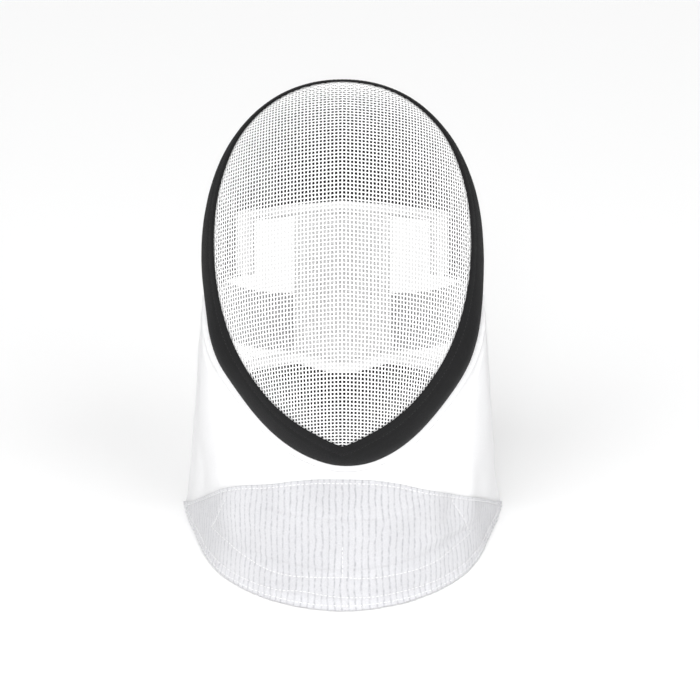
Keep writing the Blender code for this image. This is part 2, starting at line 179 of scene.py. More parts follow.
def addPiece(name, bm, node=None, sharpDegrees=180):
    mesh = bpy.data.meshes.new(name)
    bm.to_mesh(mesh)
    bm.free()
    mesh.shade_smooth()
    if sharpDegrees < 180:
        mesh.set_sharp_from_angle(angle=radians(sharpDegrees))
    piece = bpy.data.objects.new(name, mesh)
    bpy.context.collection.objects.link(piece)
    if node:
        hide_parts(node)
    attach(piece, "root")
    return piece


def shapedGrid(columns, rows, place, uvPlace=None, joined=False):
    # A flat grid whose points are moved to place(across, along), both from 0 to 1
    bm = bmesh.new()
    uvLayer = bm.loops.layers.uv.new("UVMap")
    bmesh.ops.create_grid(bm, x_segments=columns, y_segments=rows, size=0.5, calc_uvs=True)
    if uvPlace:
        for face in bm.faces:
            for loop in face.loops:
                loop[uvLayer].uv = uvPlace(*loop[uvLayer].uv)
    for vert in bm.verts:
        vert.co = place(vert.co.x + 0.5, vert.co.y + 0.5)
    if joined:
        bmesh.ops.remove_doubles(bm, verts=bm.verts, dist=1e-6)
    return bm


def faceOutwards(bm):
    bmesh.ops.recalc_face_normals(bm, faces=bm.faces)
    return bm


def dress(piece, material):
    piece.data.materials.clear()
    piece.data.materials.append(material)


def thicken(piece, wall, edge=0.0, group=""):  # edge is the radius of the rim
    solid = piece.modifiers.new("thickness", "SOLIDIFY")
    solid.thickness, solid.offset, solid.use_even_offset = wall, 0.0, wall > 0.001
    solid.vertex_group = group
    if edge:
        rim = piece.vertex_groups.new(name="rim")
        counts = {}
        for face in piece.data.polygons:
            for key in face.edge_keys:
                counts[key] = counts.get(key, 0) + 1
        ends = {i for key, count in counts.items() if count == 1 for i in key}
        rim.add(list(ends), 1.0, "REPLACE")
        rounding = piece.modifiers.new("rounded_edge", "BEVEL")
        rounding.width, rounding.segments, rounding.limit_method = edge, 3, "VGROUP"
        rounding.vertex_group = rim.name
        rounding.use_clamp_overlap = True


def sewStitches(name, lines, look):
    # One small thread loop every pitch along each line of (point, normal)
    shape = bmesh.new()
    bmesh.ops.create_uvsphere(shape, u_segments=6, v_segments=4, radius=1.0)
    loop = bpy.data.meshes.new("one_stitch")
    shape.to_mesh(loop)
    shape.free()
    bm = bmesh.new()
    for line in lines:
        travelled, due = 0.0, look["pitch"] / 2
        for (start, normal), (end, _) in zip(line, line[1:]):
            run = (end - start).length
            while run > 0 and due <= travelled + run:
                along = (end - start).normalized()
                side = normal.cross(along).normalized()
                up = along.cross(side)
                middle = start + (end - start) * ((due - travelled) / run) + normal * look["lift"]
                axes = Matrix((along * look["length"] / 2, side * look["width"] / 2, up * look["width"] / 2))
                spot = Matrix.Translation(middle) @ axes.transposed().to_4x4()
                spot = spot @ Matrix.Rotation(pi / 2, 4, "Y")
                loop.transform(spot)
                bm.from_mesh(loop)
                loop.transform(spot.inverted())
                due += look["pitch"]
            travelled += run
    return addPiece(name, faceOutwards(bm))


# Material helpers

def addNode(tree, kind, sockets=None, **settings):
    node = tree.nodes.new("ShaderNode" + kind)
    for name, value in settings.items():
        setattr(node, name, value)
    for key, value in (sockets or {}).items():
        if isinstance(value, bpy.types.NodeSocket):
            tree.links.new(value, node.inputs[key])
        else:
            node.inputs[key].default_value = value
    return node


def sums(tree, operation, first, second=0.0, clamp=False):
    return addNode(tree, "Math", {0: first, 1: second}, operation=operation, use_clamp=clamp).outputs[0]


def mixedColours(tree, share, first, second):
    return addNode(tree, "Mix", {"Factor": share, 6: first, 7: second}, data_type="RGBA").outputs[2]


def newMaterial(name, look):
    material = bpy.data.materials.new(name)
    material.use_nodes = True
    tree = material.node_tree
    shader = tree.nodes["Principled BSDF"]
    shader.inputs["Base Color"].default_value = (*look["colour"], 1)
    shader.inputs["Roughness"].default_value = look["roughness"]
    for socket, value in look.items():  # the capitalised settings are the shader's own
        if socket[0].isupper():
            shader.inputs[socket].default_value = value
    return material, tree, shader


def paintBetween(tree, shader, share, look):
    colour = mixedColours(tree, share, (*look["dark"], 1), (*look["colour"], 1))
    tree.links.new(colour, shader.inputs["Base Color"])


def centred(tree, value, scale, middle=0.5):
    return sums(tree, "MULTIPLY", sums(tree, "SUBTRACT", value, middle), scale)


def wovenThreads(tree, split, pitch):
    waves = [sums(tree, "MULTIPLY", split.outputs[name], 2 * pi / pitch) for name in ("X", "Y")]
    return sums(tree, "MULTIPLY", *(sums(tree, "SINE", wave) for wave in waves))


def grain(tree, coordinates, scale, detail=3.0, roughness=0.5):
    return addNode(tree, "TexNoise", {"Vector": coordinates, "Scale": scale, "Detail": detail,
                                      "Roughness": roughness}).outputs["Fac"]


def raised(tree, shader, height, strength, distance):
    relief = addNode(tree, "Bump", {"Height": height, "Strength": strength, "Distance": distance})
    tree.links.new(relief.outputs["Normal"], shader.inputs["Normal"])


def clothMaterial(name, look):
    # Plain weave on the piece's own UV map, in metres, with soft colour changes between threads
    material, tree, shader = newMaterial(name, look)
    split = addNode(tree, "SeparateXYZ", {0: addNode(tree, "UVMap").outputs[0]})
    place = addNode(tree, "TexCoord").outputs["Object"]
    woven = wovenThreads(tree, split, look["thread"])
    fuzz = grain(tree, place, look["fuzzScale"])
    patches = grain(tree, place, look["patchScale"], 2.0)
    shade = sums(tree, "MULTIPLY_ADD", woven, look["threadShade"])
    shade.node.inputs[2].default_value = 0.5
    shade = sums(tree, "ADD", shade, centred(tree, fuzz, look["fuzzShade"]))
    shade = sums(tree, "ADD", shade, centred(tree, patches, look["patchShade"]), clamp=True)
    paintBetween(tree, shader, shade, look)
    height = sums(tree, "ADD", woven, sums(tree, "MULTIPLY", fuzz, look["fuzzHeight"]))
    raised(tree, shader, height, look["relief"], look["reliefDistance"])
    return material


# Woven wire face

net = {
    "pitchAcross": 0.00304, "pitchUp": 0.00321, "wireRadius": 0.00058, "weave": 0.00036,
    "stretch": 1.008, "chinStretch": 0.375, "chinPinch": 0.045, "pinchFrom": 0.06, "pinchOver": 0.06,
    "underTrim": 0.99, "step": 0.0002, "columnsEachSide": 56, "rowsEachWay": 72,
}


def netHeights(direction):  # heights of the rows, half a pitch apart along the keel
    heights, z, travelled = [0.0], 0.0, 0.0
    step = net["step"] * direction
    span = bowl["rise"] if direction > 0 else bowl["drop"]
    while abs(z + step) < span * net["underTrim"]:
        stretch = net["stretch"] + net["chinStretch"] * max(-z, 0.0)
        travelled += hypot(step, bowlDepth(0, z + step) - bowlDepth(0, z)) / stretch
        z += step
        if travelled >= len(heights) * net["pitchUp"] / 2:
            heights.append(z)
    return heights


def netColumns(z):  # half a pitch apart along the row, from the keel
    places, x, travelled, step = [0.0], 0.0, 0.0, net["step"]
    pinch = net["chinPinch"] * smooth((-z - net["pinchFrom"]) / net["pinchOver"])
    pitch = net["pitchAcross"] * (1 - pinch)
    while bowlShare(x + step, z) < net["underTrim"]:
        travelled += hypot(step, bowlDepth(x + step, z) - bowlDepth(x, z))
        x += step
        if travelled >= len(places) * pitch / 2:
            places.append(x)
    return places


netRows = dict(enumerate(netHeights(1)))
netRows.update({-j: z for j, z in enumerate(netHeights(-1))})
netPlaces = {j: netColumns(z) for j, z in netRows.items()}


def netPoint(i, j, side):
    if j not in netRows or abs(i) >= len(netPlaces[j]):
        return None
    crossing = i % 2 == 0 and j % 2 == 0
    over = side * (-1) ** ((i + j) // 2) if crossing else 0
    x = copysign(netPlaces[j][abs(i)], i)
    return toWorld @ facePoint(x, netRows[j], over * net["weave"])


def weaveWires(name, upright):
    columns, rows = net["columnsEachSide"], net["rowsEachWay"]
    bm = bmesh.new()
    column, row = bm.verts.layers.int.new("column"), bm.verts.layers.int.new("row")
    bmesh.ops.create_grid(bm, x_segments=2 * columns * (1 if upright else 2),
                          y_segments=2 * rows * (2 if upright else 1), size=1.0)
    outside = []
    for vert in bm.verts:
        i, j = round(vert.co.x * 2 * columns), round(vert.co.y * 2 * rows)
        vert[column], vert[row] = i, j
        place = netPoint(i, j, 1 if upright else -1)
        if place is None:
            outside.append(vert)
        else:
            vert.co = place
    bmesh.ops.delete(bm, geom=outside, context="VERTS")
    line = column if upright else row
    crossEdges = [edge for edge in bm.edges if edge.verts[0][line] != edge.verts[1][line]]
    bmesh.ops.delete(bm, geom=crossEdges, context="EDGES_FACES")
    bmesh.ops.delete(bm, geom=[vert for vert in bm.verts if not vert.link_edges], context="VERTS")
    wires = addPiece(name, bm)
    bpy.ops.object.select_all(action="DESELECT")
    wires.select_set(True)
    bpy.context.view_layer.objects.active = wires
    bpy.ops.object.convert(target="CURVE")
    wires = bpy.context.view_layer.objects.active
    wires.data.bevel_depth = net["wireRadius"]
    wires.data.bevel_resolution = 1
    wires.data.use_fill_caps = True
    bpy.ops.object.convert(target="MESH")
    wires = bpy.context.view_layer.objects.active
    wires.data.shade_smooth()
    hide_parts("mesh_shell")
    return wires


wirePaint = {
    "colour": (0.88, 0.88, 0.88), "roughness": 0.36, "Coat Weight": 0.15, "Coat Roughness": 0.25,
    "dark": (0.82, 0.82, 0.82), "patchScale": 90.0, "patchFrom": 0.3, "patchTo": 0.55,
    "fineScale": 1400.0, "relief": 0.25, "reliefDistance": 0.0001,
}


def wirePaintMaterial():
    material, tree, shader = newMaterial("white_wire_paint", wirePaint)
    place = addNode(tree, "TexCoord").outputs["Object"]
    patches = grain(tree, place, wirePaint["patchScale"], 4.0)
    limits = {0: patches, 1: wirePaint["patchFrom"], 2: wirePaint["patchTo"]}
    paintBetween(tree, shader, addNode(tree, "MapRange", limits).outputs[0], wirePaint)
    fine = grain(tree, place, wirePaint["fineScale"], 2.0)
    raised(tree, shader, fine, wirePaint["relief"], wirePaint["reliefDistance"])
    return material


whiteWire = wirePaintMaterial()
for piece in (weaveWires("upright_wires", True), weaveWires("cross_wires", False)):
    dress(piece, whiteWire)
    print("mask:", piece.name, len(piece.data.polygons), "faces")


# Edge trim: a black padded channel round the rim

trim = {
    "wall": 0.0016, "seat": 0.0003, "columns": 288, "length": 0.85, "girth": 0.075,
    "innerLegStart": 0.6, "crownShare": 0.35, "crownFrom": 38.0, "crownOver": 42.0,
    "puff": 0.00045, "groove": 0.0003, "grooveSpread": 0.0007, "wander": 0.00016,
    "frontSeam": 0.003, "rearSeam": 0.0026, "cornerDegrees": 50,
    "frontRows": (0.5, 1.3, 2.2, 2.6, 3.0, 3.4, 3.8, 4.8),  # mm behind the front edge
    "rearRows": (3.4, 3.0, 2.6, 2.2, 1.8, 1.1, 0.5),  # mm before the rear edge
    "stitch": {"pitch": 0.0031, "length": 0.0022, "width": 0.0004, "lift": -0.00008},
}
trimFrontTable = (
    # latitude, front share
    (-90.0, 0.9435), (-75.0, 0.915), (-50.0, 0.909), (-30.0, 0.913),
    (0.0, 0.912), (25.0, 0.938), (45.0, 0.966), (90.0, 0.968),
)
trimSlackTable = (
    # side, latitude, spread in degrees, slack as a share of the trim's wall
    (1.0, -28.5, 14.6, 3.2), (-1.0, -28.4, 10.5, 2.45),
    (1.0, -63.6, 32.0, 1.6), (-1.0, -62.2, 19.7, -0.35),
)
trimInner = bowl["wall"] / 2 + trim["seat"]
trimOuter = trimInner + trim["wall"]


def trimFront(turn):
    return curveValue(trimFrontTable, latitude(turn), 1)


def trimEnd(turn):  # the outer face's rear edge
    return behindRim(turn, trim["seat"] + trim["wall"])


def trimSlack(turn):
    total = 0.0
    for side, place, spread, share in trimSlackTable:
        onSide = smooth(0.5 + 2 * side * cos(turn))
        total += onSide * share * bump(latitude(turn) - place, spread)
    return total * trim["wall"]


def trimShare(turn):  # the outer leg thins out over the crown
    return blend(1.0, trim["crownShare"], smooth((latitude(turn) - trim["crownFrom"]) / trim["crownOver"]))


def trimFace(turn, along):  # the outer face's height over the wall's middle
    front, end = trimFront(turn), trimEnd(turn)
    share = (along - front) / (1 - front)
    fromFront = (along - front) * bowl["halfWidth"]
    fromEnd = (end - along) * bowl["halfWidth"]
    face = trimInner + trim["wall"] * trimShare(turn)
    puff = trim["puff"] * trimShare(turn) * sin(pi * min(max(share, 0), 1)) ** 0.7
    seams = bump(fromFront - trim["frontSeam"], trim["grooveSpread"])
    seams += bump(fromEnd - trim["rearSeam"], trim["grooveSpread"])
    drift = noise.noise(wallMid(turn, along) * 45) + 0.5 * noise.noise(wallMid(turn, along) * 130)
    relief = (trim["wander"] * drift - trim["groove"] * seams) * trimShare(turn)
    return face + trimSlack(turn) * smooth(share) + puff + relief


def trimSection(turn):  # (along, out) round the channel's section, from the outer leg's inside
    front, end = trimFront(turn), behindRim(turn)
    mm = 0.001 / bowl["halfWidth"]
    wall, web = trim["wall"] * trimShare(turn), trimEnd(turn)
    innerStart = blend(front, 1.0, trim["innerLegStart"])
    face = [front + row * mm for row in trim["frontRows"]]
    face += [blend(front + 5.5 * mm, 1.0, share) for share in (0.0, 0.25, 0.5, 0.75, 1.0)]
    rear = web - 5.2 * mm
    face += [blend(1.0, rear, share) for share in (0.4, 0.8) if rear > 1 + mm]
    face += [web - row * mm for row in trim["rearRows"]]
    section = [(end, trimInner), (1.0, trimInner), (front + 0.3 * mm, trimInner)]
    section.append((front, trimInner + wall * 0.45))
    section += [(along, trimFace(turn, along)) for along in face]
    top = trimFace(turn, web - 0.5 * mm)
    section += [(web - 0.15 * mm, top - wall * 0.35), (web, top - wall * 0.9), (web, 0.0)]
    section += [(web, -trimOuter + wall * 0.6), (web - 0.5 * mm, -trimOuter), (end, -trimOuter)]
    section += [(blend(end, innerStart, share), -trimOuter) for share in (0.5, 0.9)]
    section += [(innerStart, -trimOuter + wall * 0.4), (innerStart + 0.3 * mm, -trimInner)]
    section += [(1.0, -trimInner), (end, -trimInner), (end + trim["seat"] / bowl["halfWidth"], 0.0)]
    return section


@lru_cache(maxsize=None)
def trimLoop(step):  # the closed section at one of the columns
    turn = 2 * pi * step / trim["columns"]
    loop = [toWorld @ wallPoint(turn, along, out) for along, out in trimSection(turn)]
    return loop + loop[:1]


def trimPlace(across, along):
    loop = trimLoop(round(across * trim["columns"]) % trim["columns"])
    spot = along * (len(loop) - 1)
    i = min(int(spot + 1e-6), len(loop) - 2)
    return loop[i].lerp(loop[i + 1], spot - i)


def buildTrim():
    bm = shapedGrid(trim["columns"], len(trimLoop(0)) - 1, trimPlace,
                    lambda u, v: (u * trim["length"], v * trim["girth"]), joined=True)
    return addPiece("edge_trim", faceOutwards(bm), "trim_band", trim["cornerDegrees"])


def trimSeamLine(alongAt):
    line = []
    for step in range(trim["columns"] + 1):
        turn = 2 * pi * step / trim["columns"]
        along = alongAt(turn)
        point = toWorld @ wallPoint(turn, along, trimFace(turn, along))
        line.append((point, turnToWorld @ wallNormal(turn, along)))
    return line


edgeTrim = buildTrim()
trimStitches = sewStitches("trim_stitches", [
    trimSeamLine(lambda turn: trimFront(turn) + trim["frontSeam"] / bowl["halfWidth"]),
    trimSeamLine(lambda turn: trimEnd(turn) - trim["rearSeam"] / bowl["halfWidth"]),
], trim["stitch"])

trimCloth = {
    "colour": (0.01, 0.01, 0.011), "dark": (0.007, 0.007, 0.007), "roughness": 0.62,
    "Specular IOR Level": 0.14,
    "thread": 0.00075, "threadShade": 0.25, "fuzzScale": 900.0, "fuzzShade": 0.7,
    "patchScale": 38.0, "patchShade": 0.6, "fuzzHeight": 1.2, "relief": 0.5, "reliefDistance": 0.00015,
}
sewingThread = {
    "roughness": 0.6, "thread": 0.0004, "threadShade": 0.3, "fuzzScale": 1500.0,
    "patchScale": 60.0, "patchShade": 0.3, "fuzzHeight": 1.0, "reliefDistance": 0.0001,
}
blackThread = {
    **sewingThread, "colour": (0.02, 0.02, 0.021), "dark": (0.01, 0.01, 0.01),
    "fuzzShade": 0.6, "relief": 0.4,
}
dress(edgeTrim, clothMaterial("black_trim_cloth", trimCloth))
dress(trimStitches, clothMaterial("black_thread", blackThread))
print("mask: trim done")


# Bib: a padded skirt from the trim to the floor

bib = {
    "wall": 0.004, "seat": 0.0003, "flange": 0.006, "edge": 0.0012,
    "foldStart": 0.04, "fold": 0.08, "foldEnd": 0.13,  # shares of the way from the flange's end to the floor
    "reach": 0.0615, "halfWidth": 0.1305, "length": 0.165, "fullness": 0.003,
    "hemBand": 0.027, "hemKick": 0.007, "hemKickAtEnds": 0.002, "levelFrom": 0.95, "levelOver": 0.034,
    "thinFrom": 0.86, "thinWall": 0.3,
    "creaseDown": 0.0085, "creaseDepth": 0.0016, "creaseSpread": 0.0022, "creaseEase": 0.02,
    "wrinkle": 0.0007, "columns": 150, "rows": 64, "turnReach": 7 * pi / 16, "rimLift": 0.002,
}
bibFloorTable = (
    # share of the way round, share of the half width, share of the length
    (0.00, 0.000, 0.000), (0.17, 0.29, 0.047), (0.36, 0.565, 0.186),
    (0.55, 0.768, 0.398), (0.79, 0.9, 0.72), (1.00, 1.000, 1.000),
)
panelHeightTable = (
    # share of the way round, height over the floor
    (-1.0, 0.004), (-0.9, 0.0155), (-0.8, 0.0305), (-0.6, 0.0577), (-0.5, 0.0672),
    (-0.4, 0.0725), (-0.2, 0.0793), (0.0, 0.0802), (0.2, 0.0785), (0.4, 0.0686),
    (0.6, 0.0525), (0.8, 0.0296), (0.9, 0.0158), (1.0, 0.004),
)
bibFoldTable = (
    # side, share round, share down, spread round, spread down, depth as a share of the fullness
    (1.0, 0.3, 0.18, 0.07, 0.16, -0.9), (1.0, 0.5, 0.62, 0.09, 0.22, -1.1),
    (1.0, 0.64, 0.7, 0.06, 0.2, 0.9), (-1.0, 0.58, 0.55, 0.12, 0.2, 0.6),
    (-1.0, 0.8, 0.72, 0.06, 0.16, -0.7),
)
chinRim = toWorld @ wallMid(-pi / 2, 1.0)


def bibShare(place):  # 1 over most of the bib, less towards its two ends, where the padding runs out
    end = smooth((abs(place) - bib["thinFrom"]) / (1 - bib["thinFrom"]))
    return blend(1.0, bib["thinWall"], end)


def bibTurn(place):  # the turn round the rim for a place from -1 to 1, with 0 under the chin
    return place * bib["turnReach"] - pi / 2


@lru_cache(maxsize=None)
def bibTop(place, back=0.0):
    turn = bibTurn(place)
    out = trimOuter + trimSlack(turn) + bib["seat"] + bib["wall"] * bibShare(place) / 2
    return toWorld @ wallPoint(turn, trimEnd(turn) - back / bowl["halfWidth"], out)


@lru_cache(maxsize=None)
def bibFloor(place):
    x = bib["halfWidth"] * copysign(curveValue(bibFloorTable, abs(place), 1), place)
    y = bib["length"] * curveValue(bibFloorTable, abs(place), 2, levelStart=True)
    return Vector((bowlPlace.x + x, chinRim.y - bib["reach"] + y, 0.0))


@lru_cache(maxsize=None)
def bibOutward(place):
    tangent = bibFloor(place + 0.01) - bibFloor(place - 0.01)
    return Vector((tangent.y, -tangent.x, 0.0)).normalized()


def bibFolds(place, down):
    total = 0.0
    for side, roundPlace, downPlace, roundSpread, downSpread, depth in bibFoldTable:
        total += depth * bump(side * place - roundPlace, roundSpread) * bump(down - downPlace, downSpread)
    return total * bib["fullness"]


def bibRipple(place, down):  # small wrinkles and the crease under the trim, over the solid's own folds
    height = bibTop(place).z
    ease = min((height - curveValue(panelHeightTable, place, 1)) / bib["creaseEase"], 1.0)
    crease = bump(down * height - bib["creaseDown"] * ease, bib["creaseSpread"] * ease)
    crease *= bib["creaseDepth"] * smooth(ease)
    spot = Vector((place * 3.2, down * height * 16, 0.4))
    wave = noise.noise(spot * 1.6) + 0.5 * noise.noise(spot * 3.7)
    calm = smooth(down * 6) * smooth((1 - down) * 9)
    return bib["wrinkle"] * wave * calm - crease


def bibMid(place, down, ripple=True):
    top, foot = bibTop(place), bibFloor(place)
    band = bib["hemBand"] / (foot - top).length
    waist = 1 - band
    kick = (1 - down) / band if down > waist else smooth(down / waist)
    kick *= blend(bib["hemKick"], bib["hemKickAtEnds"], place * place)
    swell = (bib["fullness"] * (1 - place * place) + bibFolds(place, down)) * sin(pi * down)
    if ripple:
        swell += bibRipple(place, down)
    return top.lerp(foot, down) + bibOutward(place) * (swell - kick)


def bibNormal(place, down):
    return surfaceNormal(bibMid, place, down)


def bibPoint(place, down, out):
    normal = bibNormal(place, down)
    flat = Vector((normal.x, normal.y, 0.0)).normalized()
    level = flat * (out / flat.dot(normal))  # the rim stays level
    share = smooth((down - bib["levelFrom"]) / bib["levelOver"])
    return bibMid(place, down) + (normal * out).lerp(level, share)


def panelTop(place):
    return 1 - curveValue(panelHeightTable, place, 1) / bibTop(place).z


def belowFold(along):
    return (along - bib["fold"]) / (1 - bib["fold"])


def bibSection(place, along):  # up the flange, over the fold, then down the skirt
    if along < bib["fold"]:
        return bibTop(place, bib["flange"] * bibShare(place) * (1 - along / bib["fold"]))
    return bibMid(place, belowFold(along))


def roundedSection(place, along):
    start, end = bib["foldStart"], bib["foldEnd"]
    if not start < along < end:
        return bibSection(place, along)
    share = (along - start) / (end - start)
    first, last, corner = bibSection(place, start), bibSection(place, end), bibTop(place)
    return first.lerp(corner, share).lerp(corner.lerp(last, share), share)


def arcTable(rows=12, columns=60):  # true length along each row of the skirt, from its middle
    table = []
    for row in range(rows + 1):
        total, line = 0.0, [0.0]
        last = bibMid(0.0, row / rows, ripple=False)
        for column in range(columns):
            point = bibMid((column + 1) / columns, row / rows, ripple=False)
            total += (point - last).length
            line.append(total)
            last = point
        table.append(line)
    return table


arcs = arcTable()


def clothUv(place, down):
    row = min(max(down, 0.0), 1.0) * (len(arcs) - 1)
    column = abs(place) * (len(arcs[0]) - 1)
    i, j = min(int(row), len(arcs) - 2), min(int(column), len(arcs[0]) - 2)
    low = blend(arcs[i][j], arcs[i][j + 1], column - j)
    high = blend(arcs[i + 1][j], arcs[i + 1][j + 1], column - j)
    return copysign(blend(low, high, row - i), place), (1 - down) * (bibTop(place) - bibFloor(place)).length


def offTheFloor(point):  # the rim's inner edge stands on the floor
    return Vector((point.x, point.y, max(point.z, bib["rimLift"])))


bibGrid = shapedGrid(
    bib["columns"], bib["rows"],
    lambda across, along: offTheFloor(roundedSection(2 * across - 1, 1 - along)),
    lambda u, v: clothUv(2 * u - 1, belowFold(1 - v)),
)
bibCloth = addPiece("bib_cloth", bibGrid, "bib")
wallGroup = bibCloth.vertex_groups.new(name="full_wall")
for vert in bibCloth.data.vertices:
    across = vert.index % (bib["columns"] + 1) / bib["columns"]
    wallGroup.add([vert.index], bibShare(2 * across - 1), "REPLACE")
thicken(bibCloth, bib["wall"], bib["edge"], wallGroup.name)

whiteCloth = {
    "colour": (0.82, 0.82, 0.825), "dark": (0.74, 0.74, 0.75), "roughness": 0.8,
    "Sheen Weight": 0.15, "Sheen Roughness": 0.5,
    "thread": 0.0009, "threadShade": 0.25, "fuzzScale": 700.0, "fuzzShade": 0.5,
    "patchScale": 22.0, "patchShade": 0.5, "fuzzHeight": 0.8, "relief": 0.5, "reliefDistance": 0.0002,
}
dress(bibCloth, clothMaterial("white_bib_cloth", whiteCloth))
print("mask: bib done")


# Conductive panel over the bib's lower front, sewn and hemmed

panel = {
    "wall": 0.0008, "gap": 0.0003, "lift": 0.0006, "floorGap": 0.0012, "columns": 260, "rows": 84,
    "topSeam": 0.0026, "edgeSeam": 0.0027, "seamDepth": 0.0007, "seamSpread": 0.0011,
    "keelSeamTop": 0.0385, "bandEnd": 0.66, "upperEnd": 0.34, "sideFoot": 0.0213, "sideTop": 0.0545,
    "pucker": 0.00022, "puckerPitch": 0.0062, "puckerSpread": 0.005,
    "hemRise": 0.0004, "wrinkle": 0.00045, "calmEdge": 0.008, "deepest": -0.0008,
    "stitch": {"pitch": 0.0034, "length": 0.0026, "width": 0.0006, "lift": 0.0002},
}
hemSeamTable = (
    # share of the way round, height over the floor
    (-1.0, 0.0058), (-0.76, 0.0061), (-0.56, 0.0056), (-0.25, 0.0056), (-0.14, 0.0076), (-0.04, 0.0066),
    (0.06, 0.0056), (0.18, 0.0054), (0.4, 0.0056), (0.6, 0.006), (1.0, 0.0058),
)
bandSeamTable = (
    # share of the way round, height over the floor
    (-0.66, 0.022), (-0.52, 0.0222), (-0.43, 0.0195), (-0.25, 0.0155), (0.0, 0.0175), (0.07, 0.0164),
    (0.28, 0.0161), (0.4, 0.0174), (0.48, 0.0193), (0.66, 0.0226),
)
upperSeamTable = (
    # share of the way round, height over the floor
    (-0.34, 0.0575), (-0.18, 0.0567), (0.1, 0.0546), (0.2, 0.0551), (0.34, 0.0602),
)
sideSeamTable = (
    # height over the floor, share of the way round on the left, on the right
    (0.0213, -0.644, 0.6), (0.0305, -0.617, 0.585), (0.0425, -0.58, 0.56), (0.0545, -0.546, 0.527),
)


def fromFloor(place, down):
    return (1 - down) * bibTop(place).z


def hemHeight(place):
    return curveValue(hemSeamTable, place, 1)


def bandHeight(place):
    return curveValue(bandSeamTable, place, 1)


def upperHeight(place):
    return curveValue(upperSeamTable, place, 1)


def topSeamHeight(place):
    return curveValue(panelHeightTable, place, 1) - panel["topSeam"]


def panelSeams(place, down):  # distances to the sewn lines, in metres
    height = fromFloor(place, down)
    lines = [height - hemHeight(place), height - panel["edgeSeam"], height - topSeamHeight(place)]
    if abs(place) < panel["bandEnd"]:
        lines.append(height - bandHeight(place))
    if abs(place) < panel["upperEnd"]:
        lines.append(height - upperHeight(place))
    if bandHeight(max(min(place, 0.6), -0.6)) < height < 0.055:
        side = curveValue(sideSeamTable, height, 2 if place > 0 else 1)
        lines.append(clothUv(place, down)[0] - clothUv(side, down)[0])
    return [abs(line) for line in lines]


panelFoldTable = (
    # share of the way round, height over the floor, spread round, spread up, rise
    (0.47, 0.026, 0.14, 0.003, -0.0013), (0.46, 0.033, 0.15, 0.005, 0.0009),
    (0.35, 0.0678, 0.028, 0.0028, -0.0014), (-0.5, 0.03, 0.1, 0.004, -0.0007),
    (0.1, 0.011, 0.1, 0.0028, -0.0006), (-0.22, 0.0108, 0.07, 0.0026, -0.0006),
)


def panelRelief(place, down):
    total = 0.0
    across = clothUv(place, down)[0]
    wave = sin(2 * pi * across / panel["puckerPitch"] + 3 * noise.noise(Vector((across * 60, 0, 0))))
    for distance in panelSeams(place, down):
        total -= panel["seamDepth"] * bump(distance, panel["seamSpread"])
        total += panel["pucker"] * bump(distance, panel["puckerSpread"]) * wave
    height = fromFloor(place, down)
    total += panel["hemRise"] * (1 - smooth((height - hemHeight(place)) / 0.0015 + 0.5))
    for foldPlace, foldHeight, foldSpread, heightSpread, rise in panelFoldTable:
        total += rise * bump(place - foldPlace, foldSpread) * bump(height - foldHeight, heightSpread)
    spot = Vector((across * 75, height * 42, 1.7))
    edge = smooth((topSeamHeight(place) - height) / panel["calmEdge"])
    total += panel["wrinkle"] * edge * (noise.noise(spot) + 0.6 * noise.noise(spot * 2.3))
    return max(total, panel["deepest"])


def panelPoint(place, down, out=0.0):
    middle = bib["wall"] * bibShare(place) / 2 + panel["gap"] + panel["wall"] / 2 + panel["lift"]
    return bibPoint(place, down, middle + panelRelief(place, down) + out)


def panelDown(place, along):  # along runs from the floor to the panel's upper edge
    foot = 1 - panel["floorGap"] / bibTop(place).z
    return blend(foot, panelTop(place), along)


panelGrid = shapedGrid(
    panel["columns"], panel["rows"],
    lambda across, along: panelPoint(2 * across - 1, panelDown(2 * across - 1, along)),
    lambda u, v: clothUv(2 * u - 1, panelDown(2 * u - 1, v)),
)
panelCloth = addPiece("conductive_cloth", panelGrid, "conductive_panel")
thicken(panelCloth, panel["wall"])


def sewnPoint(place, height):  # on the panel's outer face
    down = 1 - height / bibTop(place).z
    return panelPoint(place, down, panel["wall"] / 2), bibNormal(place, down)


def panelLine(heightAt, firstPlace, lastPlace, steps):
    places = [blend(firstPlace, lastPlace, i / steps) for i in range(steps + 1)]
    return [sewnPoint(place, heightAt(place)) for place in places]


def uprightLine(placeAt, lowHeight, highHeight, steps=40):
    heights = [blend(lowHeight, highHeight, i / steps) for i in range(steps + 1)]
    return [sewnPoint(placeAt(height), height) for height in heights]


sideLines = [
    uprightLine(lambda height: curveValue(sideSeamTable, height, column), panel["sideFoot"], panel["sideTop"])
    for column in (1, 2)
]
panelStitches = sewStitches("panel_stitches", [
    panelLine(hemHeight, -0.97, 0.97, 300),
    panelLine(lambda place: panel["edgeSeam"], -0.985, 0.985, 300),
    panelLine(bandHeight, -0.645, 0.6, 240),
    panelLine(topSeamHeight, -0.93, 0.93, 300),
    uprightLine(lambda height: 0.0, bandHeight(0.0), panel["keelSeamTop"]),
    *sideLines,
], panel["stitch"])

lame = {
    "colour": (0.77, 0.77, 0.795), "dark": (0.52, 0.52, 0.54), "roughness": 0.52,
    "Metallic": 0.1, "Sheen Weight": 0.55, "Sheen Roughness": 0.5,
    "stripePitch": 0.0052, "stripeWidth": 0.0024, "stripe": (0.36, 0.36, 0.39), "stripeShare": 0.72,
    "thread": 0.0008, "threadShade": 0.35, "fineScale": 1100.0, "fineShade": 0.9,
    "patchScale": 30.0, "patchMiddle": 0.4, "patchShade": 0.5, "breakScale": 420.0,
    "wanderScale": 110.0, "wander": 0.0024, "driftScale": 26.0, "drift": 0.006,
    "relief": 0.8, "stripeRelief": 1.2, "reliefDistance": 0.0002,
}


